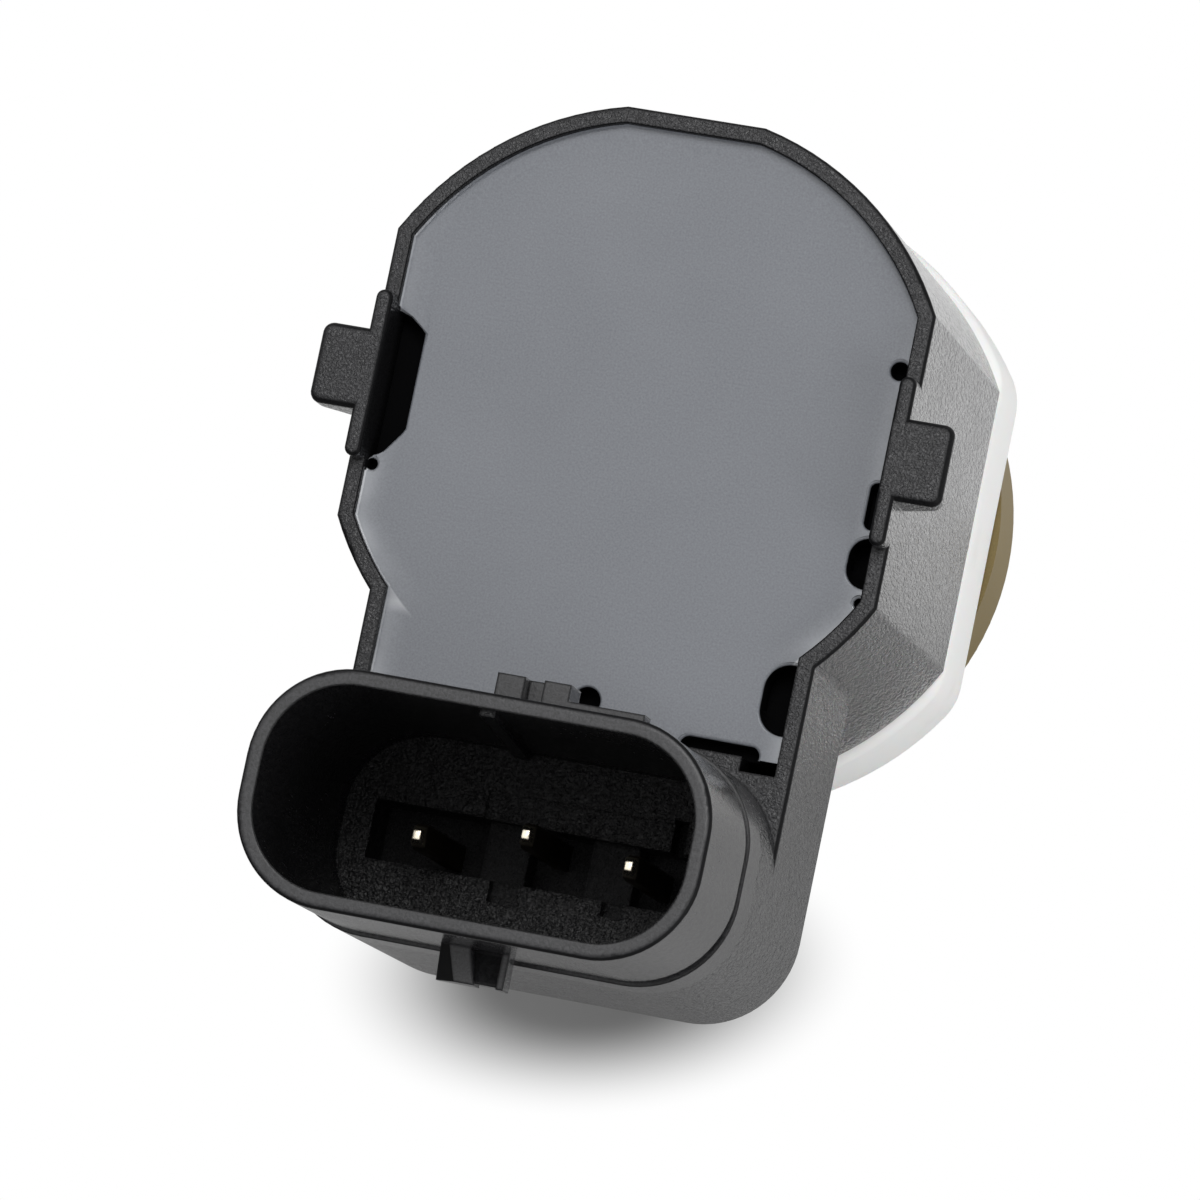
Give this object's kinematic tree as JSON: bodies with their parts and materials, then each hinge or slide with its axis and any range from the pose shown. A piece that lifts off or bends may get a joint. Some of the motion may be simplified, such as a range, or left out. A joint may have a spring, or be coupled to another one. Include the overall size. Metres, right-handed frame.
{
  "type": "ultrasonic parking sensor",
  "caption": "Ultrasonic parking sensor with a painted round front, a soft decoupling ring, a potted housing with side snap lugs and an oblong plug socket at the rear.",
  "frame": {"origin": "centre of the flat painted front face, on the axis of the round body", "axes": "+Z from the front face to the rear, out of the plug socket; +Y from the plug socket towards the round body; +X to the right when the rear is seen with the socket below"},
  "size_m": [0.0304, 0.0431, 0.0424],
  "materials": {
    "housing_plastic": "fine textured black",
    "potting_resin": "glossy grey casting",
    "front_paint": "satin bronze metallic paint",
    "soft_white": "matt silicone",
    "contact_metal": "plated, bright",
    "board_laminate": "green solder mask",
    "part_black": "moulded black",
    "part_ceramic": "fired ceramic",
    "part_ferrite": "sintered dark grey",
    "copper_wire": "enamelled copper",
    "foam_grey": "open foam"
  },
  "bodies": {
    "root": {"housing": "housing_plastic", "potting": "potting_resin", "circuit_board": "board_laminate", "control_chip": "part_black", "transformer_bobbin": "part_black", "transformer_winding": "copper_wire", "transformer_core": "part_ferrite", "supply_capacitor": "part_ceramic", "tuning_capacitor": "part_ceramic", "protection_diode": "part_black", "ceramic_capacitors": "part_ceramic", "resistors": "part_black", "contact_left": "contact_metal", "contact_middle": "contact_metal", "contact_right": "contact_metal", "membrane_cup": "front_paint", "piezo_disc": "part_ceramic", "damping_foam": "foam_grey", "cup_seal": "soft_white", "transducer_carrier": "part_black", "transducer_pins": "contact_metal", "signal_lead": "copper_wire", "ground_lead": "copper_wire", "decoupling_ring": "soft_white", "front_ring": "front_paint"}
  },
  "joints": []
}
